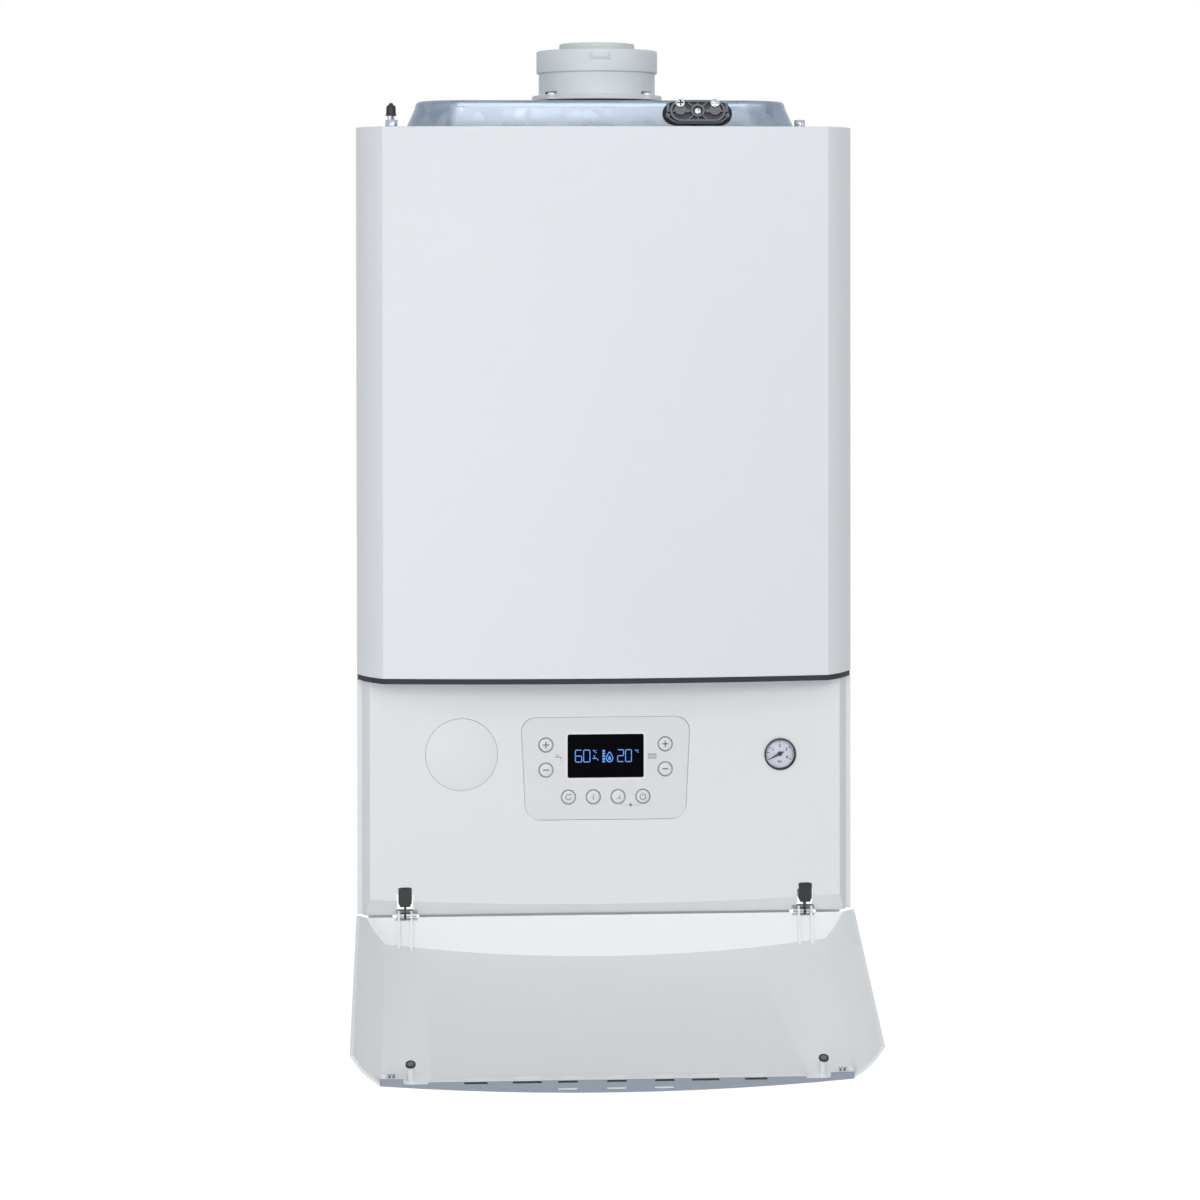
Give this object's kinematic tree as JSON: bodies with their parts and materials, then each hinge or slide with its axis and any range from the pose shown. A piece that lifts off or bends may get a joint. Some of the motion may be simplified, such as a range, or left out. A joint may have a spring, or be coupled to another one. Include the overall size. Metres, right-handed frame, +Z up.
{
  "type": "wall-hung combi boiler",
  "caption": "Wall-hung combi boiler: bowed white casing, coaxial flue collar on top, and a drop-down door, shown open, over its control panel and pressure gauge.",
  "frame": {"origin": "middle of the hanging line on the wall face of the rear frame, 40 mm below the casing's top", "axes": "+Y into the wall, +Z up, +X to the right as seen from the front"},
  "size_m": [0.41, 0.4548, 0.8241],
  "materials": {
    "white_paint": "smooth white stove enamel, satin",
    "white_plastic": "smooth moulded, satin",
    "plate_plastic": "smooth moulded, satin",
    "slate_plastic": "dark slate grey, satin",
    "trim_grey": "blue-grey, satin",
    "grey_plastic": "moulded grey",
    "black_plastic": "moulded black",
    "rubber": "black seal",
    "display_window": "dark glossy window",
    "dial_white": "printed white dial",
    "gauge_lens": "clear",
    "galvanised": "zinc-coated sheet",
    "steel": "bright steel",
    "cast_aluminium": "cast, matt",
    "brass": "machined brass",
    "copper": "drawn copper tube",
    "red_paint": "red enamel",
    "circuit_board": "green solder mask"
  },
  "bodies": {
    "boiler": {"rear_frame": "galvanised", "side_panel_left": "white_paint", "side_panel_right": "white_paint", "top_panel": "galvanised", "chamber_floor": "galvanised", "connection_bracket": "galvanised", "front_cover": "white_paint", "accent_strip": "slate_plastic", "fascia": "white_plastic", "blank_cover": "white_plastic", "control_plate": "plate_plastic", "display_window": "display_window", "control_box": "grey_plastic", "control_board": "circuit_board", "gauge_case": "black_plastic", "gauge_dial": "dial_white", "gauge_lens": "gauge_lens", "hinge_bracket_left": "black_plastic", "hinge_bracket_right": "black_plastic", "chamber_hood": "galvanised", "flue_gasket": "rubber", "flue_adapter": "white_plastic", "flue_inner_pipe": "white_plastic", "flue_duct": "cast_aluminium", "inlet_gasket": "rubber", "inlet_cover": "grey_plastic", "charge_valve": "steel", "charge_cap": "black_plastic", "expansion_vessel": "red_paint", "heat_exchanger": "cast_aluminium", "burner_door": "cast_aluminium", "fan_housing": "cast_aluminium", "gas_valve": "cast_aluminium", "gas_pipe": "steel", "gas_tail": "steel", "flow_pipe": "copper", "return_pipe": "copper", "pump_body": "cast_aluminium", "diverter_body": "brass", "plate_exchanger": "steel", "condensate_trap": "grey_plastic"},
    "door": {"door": "white_plastic", "door_trim": "trim_grey", "catch_disc_left": "grey_plastic", "catch_disc_right": "grey_plastic", "hinge_pin_left": "steel", "hinge_pin_right": "steel"},
    "water_plus": {"button_water_plus": "plate_plastic"},
    "water_minus": {"button_water_minus": "plate_plastic"},
    "heating_plus": {"button_heating_plus": "plate_plastic"},
    "heating_minus": {"button_heating_minus": "plate_plastic"},
    "row_1": {"button_row_1": "plate_plastic"},
    "row_2": {"button_row_2": "plate_plastic"},
    "row_3": {"button_row_3": "plate_plastic"},
    "power": {"button_power": "plate_plastic"},
    "needle": {"gauge_needle": "black_plastic"},
    "fan_rotor": {"fan_impeller": "black_plastic"},
    "pump_rotor": {"pump_impeller": "black_plastic"},
    "spindle": {"diverter_spindle": "steel"},
    "knob": {"relief_knob": "red_paint"}
  },
  "joints": [
    {"name": "door_hinge", "type": "hinge", "parent": "boiler", "child": "door", "pos_m": [0, -0.274, -0.609], "axis": [-1, 0, 0], "range_deg": [0, 111.5]},
    {"name": "water_plus_press", "type": "slide", "parent": "boiler", "child": "water_plus", "axis": [0, 1, 0], "range_m": [0, 0.0008], "stiffness_N_per_m": 400},
    {"name": "water_minus_press", "type": "slide", "parent": "boiler", "child": "water_minus", "axis": [0, 1, 0], "range_m": [0, 0.0008], "stiffness_N_per_m": 400},
    {"name": "heating_plus_press", "type": "slide", "parent": "boiler", "child": "heating_plus", "axis": [0, 1, 0], "range_m": [0, 0.0008], "stiffness_N_per_m": 400},
    {"name": "heating_minus_press", "type": "slide", "parent": "boiler", "child": "heating_minus", "axis": [0, 1, 0], "range_m": [0, 0.0008], "stiffness_N_per_m": 400},
    {"name": "row_1_press", "type": "slide", "parent": "boiler", "child": "row_1", "axis": [0, 1, 0], "range_m": [0, 0.0008], "stiffness_N_per_m": 400},
    {"name": "row_2_press", "type": "slide", "parent": "boiler", "child": "row_2", "axis": [0, 1, 0], "range_m": [0, 0.0008], "stiffness_N_per_m": 400},
    {"name": "row_3_press", "type": "slide", "parent": "boiler", "child": "row_3", "axis": [0, 1, 0], "range_m": [0, 0.0008], "stiffness_N_per_m": 400},
    {"name": "power_press", "type": "slide", "parent": "boiler", "child": "power", "axis": [0, 1, 0], "range_m": [0, 0.0008], "stiffness_N_per_m": 400},
    {"name": "needle_sweep", "type": "hinge", "parent": "boiler", "child": "needle", "pos_m": [0.1446, -0.276, -0.4786], "axis": [0, 1, 0], "range_deg": [0, 235]},
    {"name": "fan_spin", "type": "hinge", "parent": "boiler", "child": "fan_rotor", "pos_m": [-0.05, -0.23, -0.305], "axis": [0, 1, 0], "continuous": true},
    {"name": "pump_spin", "type": "hinge", "parent": "boiler", "child": "pump_rotor", "pos_m": [0.13, -0.078, -0.44], "axis": [0, 1, 0], "continuous": true},
    {"name": "diverter_slide", "type": "slide", "parent": "boiler", "child": "spindle", "axis": [0, -1, 0], "range_m": [0, 0.006]},
    {"name": "relief_turn", "type": "hinge", "parent": "boiler", "child": "knob", "pos_m": [-0.18, -0.078, -0.52], "axis": [-1, 0, 0], "range_deg": [0, 60]}
  ]
}
